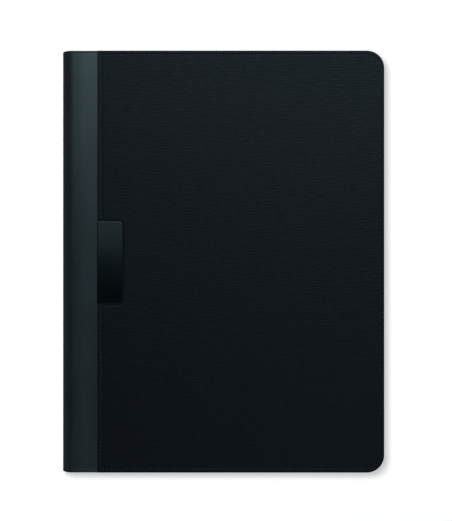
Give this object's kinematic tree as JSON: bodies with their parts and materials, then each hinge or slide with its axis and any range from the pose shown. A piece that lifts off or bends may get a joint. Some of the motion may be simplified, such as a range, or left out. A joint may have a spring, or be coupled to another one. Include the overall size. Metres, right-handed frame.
{
  "type": "padfolio",
  "caption": "A4 writing folder with grained hard covers, a smooth wrapped spine and a glossy front plate; it opens flat like a book on a writing pad, pockets and a pen loop.",
  "frame": {"origin": "centre of the closed folder's footprint, on its back cover's outer face", "axes": "+X from the spine to the fore-edge, +Y up the page, +Z from the back cover to the front cover"},
  "size_m": [0.24, 0.315, 0.0177],
  "materials": {
    "grained_covering": "black leatherette with a fine linen-like grain, satin",
    "smooth_band": "smooth black leatherette, soft sheen",
    "cover_board": "grey board, matt",
    "lining_cloth": "fine black cloth, matt",
    "pocket_sheet": "smooth black leatherette, satin",
    "backing_card": "grey-brown chipboard, matt",
    "paper": "off-white writing paper, matt",
    "binding_tape": "black book cloth tape, matt",
    "elastic": "black ribbed elastic, matt",
    "gloss_plate": "black, polished"
  },
  "bodies": {
    "back_cover": {"back_panel": "grained_covering", "back_board": "cover_board", "back_band": "smooth_band", "back_lining": "lining_cloth", "pad_pocket": "pocket_sheet", "pad_backing": "backing_card", "pad_sheets": "paper", "pad_binding": "binding_tape", "pen_loop": "elastic"},
    "spine": {"spine_band": "smooth_band", "spine_lining": "lining_cloth"},
    "front_cover": {"front_panel": "grained_covering", "front_board": "cover_board", "front_band": "smooth_band", "front_lining": "lining_cloth", "document_pocket": "pocket_sheet", "card_pocket_upper": "pocket_sheet", "card_pocket_lower": "pocket_sheet", "front_plate": "gloss_plate"}
  },
  "joints": [
    {"name": "spine_hinge", "type": "hinge", "parent": "back_cover", "child": "spine", "pos_m": [-0.11769, 0, 0.00291], "axis": [0, -1, 0], "range_deg": [0, 90]},
    {"name": "cover_hinge", "type": "hinge", "parent": "spine", "child": "front_cover", "pos_m": [-0.11769, 0, 0.01409], "axis": [0, -1, 0], "range_deg": [0, 90]}
  ],
  "couplings": [
    {"joint": "spine_hinge", "follows": "cover_hinge", "ratio": 1}
  ]
}
